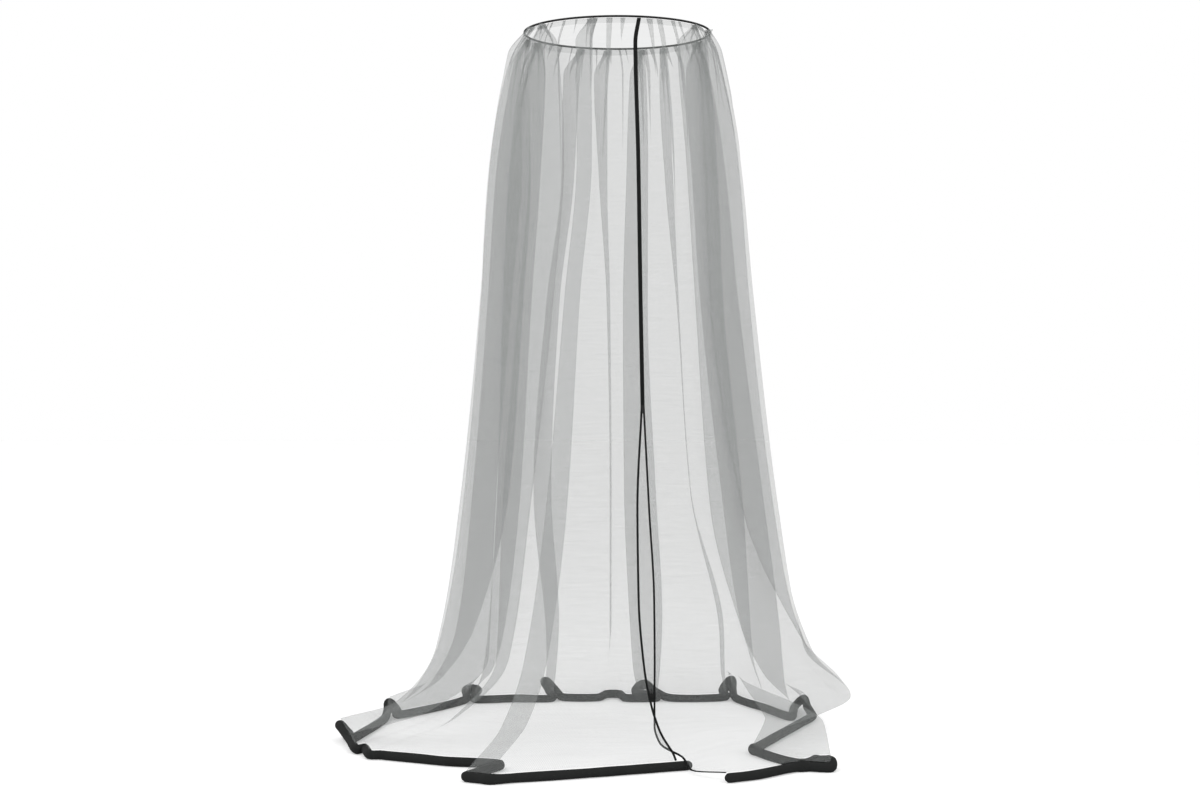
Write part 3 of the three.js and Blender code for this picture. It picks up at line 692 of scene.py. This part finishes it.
def make_hem_tube():
    """The stuffed tube: round, a little uneven, flatter where it rests, puckered where it turns."""
    route = tube_route()
    along = np.gradient(route, axis=0)
    along /= np.linalg.norm(along, axis=1, keepdims=True)
    across = np.stack([along[:, 1], -along[:, 0], np.zeros(len(along))], axis=1)
    across /= np.linalg.norm(across, axis=1, keepdims=True)
    up = np.cross(across, along)
    bend = np.linalg.norm(np.gradient(along, axis=0), axis=1)
    distance = np.concatenate([[0], np.cumsum(np.linalg.norm(np.diff(route, axis=0), axis=1))])
    lump_places = np.arange(0, distance[-1] + LUMP_SPACING, LUMP_SPACING)
    lump_sizes = random.uniform(*LUMP_SIZES, int(distance[-1] / LUMP_SPACING) + 2)
    lumps = np.interp(distance, lump_places, lump_sizes)
    ripple = np.sin(distance * 2 * np.pi / PUCKER_SPACING) * PUCKER_DEPTH
    pucker = np.minimum(bend * PUCKER_BEND, 1) * ripple
    bunched = np.zeros(len(route))
    for place, more, length in BUNCHES:
        away = np.linalg.norm(route[:, :2] - place, axis=1)
        bunched = np.maximum(bunched, more * np.exp(-(away / length) ** 2))
    vertices = []
    for i, centre in enumerate(route):
        radius = TUBE_DIAMETER / 2 * (1 + lumps[i] + pucker[i] + bunched[i])
        end_distance = min(distance[i], distance[-1] - distance[i])
        fullness = math.sqrt(min(end_distance / END_ROUNDING, 1))
        radius *= END_SHARE + (1 - END_SHARE) * fullness
        for k in range(TUBE_SIDES):
            angle = 2 * math.pi * k / TUBE_SIDES
            seam = 1 - SEAM_DEPTH * math.exp(-((angle - math.pi / 2) / SEAM_WIDTH) ** 2)
            level, upright = math.cos(angle) * radius * seam, math.sin(angle) * radius * seam
            spot = centre + across[i] * level + up[i] * upright
            spot[2] = max(spot[2], 0)
            vertices.append(spot)
    tube = new_object("stuffed_hem", to_part(vertices), rod_faces(len(route), TUBE_SIDES))
    dark, light = (0.009, 0.0095, 0.0092), (0.021, 0.022, 0.0215)
    cloth = woven_black("tube_cloth", dark, light, pitch=0.0011, bump=0.5, roughness=0.9)
    dress(tube, cloth, ["hem_tube"])
    return tube


def make_tape(side, material):
    """One tape of the zip, and its length in metres."""
    foot_top = 320  # below this it bends more, so its points are closer
    heights = np.unique(np.concatenate([
        np.linspace(HEM_HEIGHT, foot_top, 60),
        np.linspace(foot_top, RIM_HEIGHT, 130),
    ]))
    middle, across, out = flat_frames(side, heights)
    profile = [(-1.2, 0), (-0.9, 0.7), (-0.5, 0.5), (0.6, 0.4), (1.1, 0), (0.6, -0.4), (-0.9, -0.6)]
    vertices = []
    for i in range(len(heights)):
        for a, b in profile:
            vertices.append(middle[i] + across[i] * a * TAPE_WIDTH / 2 + out[i] * b)
    faces = rod_faces(len(heights), len(profile), flip=side == "left")
    tape = new_object(f"tape_{side}", to_part(vertices), faces)
    dress(tape, material, [f"zip_tape_{side}"])
    length = np.linalg.norm(np.diff(middle, axis=0), axis=1).sum() * MM
    return tape, length


def make_teeth(side, material):
    """The coil of the zip: one small oval loop after another along the tape's free edge."""
    pitch = 2.4
    loop = [(-1.7, 0, 0), (0, 0.9, -0.45), (1.7, 0, -0.45), (0, -0.4, -0.45),
            (0, 0.9, 0.45), (1.7, 0, 0.45), (0, -0.4, 0.45)]
    loop_faces = [(0, 1, 4), (1, 2, 5, 4), (2, 3, 6, 5), (3, 0, 6), (0, 3, 2, 1), (0, 4, 5, 6)]
    dense = np.linspace(HEM_HEIGHT + 10, RIM_HEIGHT - 6, 3000)
    middle, across, out = flat_frames(side, dense)
    distance = np.concatenate([[0], np.cumsum(np.linalg.norm(np.diff(middle, axis=0), axis=1))])
    stops = np.arange(0, distance[-1], pitch) + (pitch / 2 if side == "left" else 0)
    picks = np.clip(np.searchsorted(distance, stops), 1, len(dense) - 2)
    vertices, faces = [], []
    for i in picks:
        up = middle[i + 1] - middle[i - 1]
        up /= np.linalg.norm(up)
        centre = middle[i] - across[i] * (TAPE_WIDTH / 2 - 0.3) + out[i] * 0.6
        start = len(vertices)
        for a, b, c in loop:
            vertices.append(centre + across[i] * a + out[i] * b + up * c)
        faces += [tuple(start + k for k in face) for face in loop_faces]
    teeth = new_object(f"teeth_{side}", to_part(vertices), faces, smooth=False)
    dress(teeth, material, [])
    return teeth


def make_slider(material):
    """The slider's wedge body, with its pull hanging in front of the split."""
    low, high = (Vector(corner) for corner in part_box("zip_slider"))
    centre = (low + high) / 2
    width, depth, length = high - low
    outline = [(-0.36, -0.5), (0.36, -0.5), (0.5, -0.1), (0.5, 0.4), (0.2, 0.5), (0, 0.34),
               (-0.2, 0.5), (-0.5, 0.4), (-0.5, -0.1)]
    vertices, faces = [], []
    for level, shrink in ((-0.5, 0.86), (-0.35, 1), (0.35, 1), (0.5, 0.86)):
        for x, z in outline:
            vertices.append((centre.x + x * width * shrink, centre.y + level * depth,
                             centre.z + z * length * shrink))
    faces = rod_faces(4, len(outline))
    start = len(vertices)
    pull = [(-0.22, 0.1), (0.22, 0.1), (0.3, -0.9), (0.16, -1.2), (-0.16, -1.2), (-0.3, -0.9)]
    for y in (-0.5, -0.78):
        for x, z in pull:
            vertices.append((centre.x + x * width, centre.y + y * depth, centre.z + z * length))
    count = len(pull)
    pull_faces = [tuple(range(count)), tuple(reversed(range(count, 2 * count)))]
    for k in range(count):
        n = (k + 1) % count
        pull_faces.append((count + k, count + n, n, k))
    faces += [tuple(start + k for k in face) for face in pull_faces]
    slider = new_object("slider_and_pull", vertices, faces, smooth=False)
    dress(slider, material, ["zip_slider"])
    return slider


# ---------------------------------------------------------------- camera, floor and light
def add_camera():
    """The photo's view, level and from in front."""
    data = bpy.data.cameras.new("camera")
    data.lens = 58.2
    data.sensor_width = 36
    data.shift_y = -22 / 1200
    camera = bpy.data.objects.new("camera", data)
    camera.location = (-0.056, -6.36, -1.13)
    camera.rotation_euler = (math.pi / 2, 0, 0)
    bpy.context.collection.objects.link(camera)
    bpy.context.scene.camera = camera


def camera_white(tree, shader_output):
    """White where the camera, a mirror or clear glass looks, and the shader's light elsewhere."""
    path = tree.nodes.new("ShaderNodeLightPath")
    through = math_node(tree, "MAXIMUM", path.outputs["Is Glossy Ray"],
                        path.outputs["Is Transmission Ray"])
    seen = math_node(tree, "MAXIMUM", path.outputs["Is Camera Ray"], through)
    mix = tree.nodes.new("ShaderNodeMixShader")
    white = node(tree, "ShaderNodeBackground", Color=(1, 1, 1, 1), Strength=1.0)
    tree.links.new(seen, mix.inputs[0])
    tree.links.new(shader_output, mix.inputs[1])
    tree.links.new(white.outputs[0], mix.inputs[2])
    return mix.outputs[0]


def add_floor():
    """A pale floor that looks white to the camera but still takes the net's shadow."""
    half = 30
    level = -NET_HEIGHT * MM - 0.0005
    signs = ((-1, -1), (1, -1), (1, 1), (-1, 1))
    corners = [(x * half, y * half, level) for x, y in signs]
    floor = new_object("floor", corners, [(0, 1, 2, 3)], smooth=False)
    material, tree, shader = new_material("floor")
    shader.inputs["Base Color"].default_value = (0.86, 0.86, 0.86, 1)
    shader.inputs["Roughness"].default_value = 0.9
    path = tree.nodes.new("ShaderNodeLightPath")
    lift = math_node(tree, "MULTIPLY", path.outputs["Is Camera Ray"], 0.35)
    shader.inputs["Emission Color"].default_value = (1, 1, 1, 1)
    tree.links.new(lift, shader.inputs["Emission Strength"])
    floor.data.materials.append(material)


def add_light():
    """Soft white light all round, with a key lamp at the left and a weaker one at the right."""
    world = bpy.data.worlds.new("world")
    bpy.context.scene.world = world
    world.use_nodes = True
    tree = world.node_tree
    soft = tree.nodes["Background"]
    soft.inputs["Color"].default_value = (1, 1, 1, 1)
    soft.inputs["Strength"].default_value = 0.72
    output = tree.nodes["World Output"]
    tree.links.new(camera_white(tree, soft.outputs[0]), output.inputs["Surface"])
    for name, place, power, size in (
        ("key", (-3.0, -4.5, 2.6), 150, 3.0),
        ("fill", (3.6, -3.6, 1.2), 70, 3.0),
    ):
        data = bpy.data.lights.new(name, "AREA")
        data.energy = power
        data.size = size
        lamp = bpy.data.objects.new(name, data)
        lamp.location = place
        aim = Vector((0, 0, -1.2)) - Vector(place)
        lamp.rotation_euler = aim.to_track_quat("-Z", "Y").to_euler()
        bpy.context.collection.objects.link(lamp)


def main():
    """Build the whole scene."""
    scene = bpy.context.scene
    scene.view_settings.view_transform = "Standard"
    scene.cycles.transparent_max_bounces = 48
    add_camera()
    add_floor()
    add_light()

    netting, width = make_netting()
    make_hoop()
    tube = make_hem_tube()
    dark, light = (0.004, 0.0044, 0.0044), (0.01, 0.011, 0.0105)
    tape_cloth = woven_black("tape_cloth", dark, light, pitch=0.0009, bump=0.4, roughness=0.9)
    coil = hard_black("zip_coil", (0.005, 0.005, 0.005), 0.6, 300)
    for side in ("left", "right"):
        make_tape(side, tape_cloth)
        make_teeth(side, coil)
    make_slider(hard_black("slider_enamel", (0.012, 0.012, 0.012), 0.35, 200))


main()
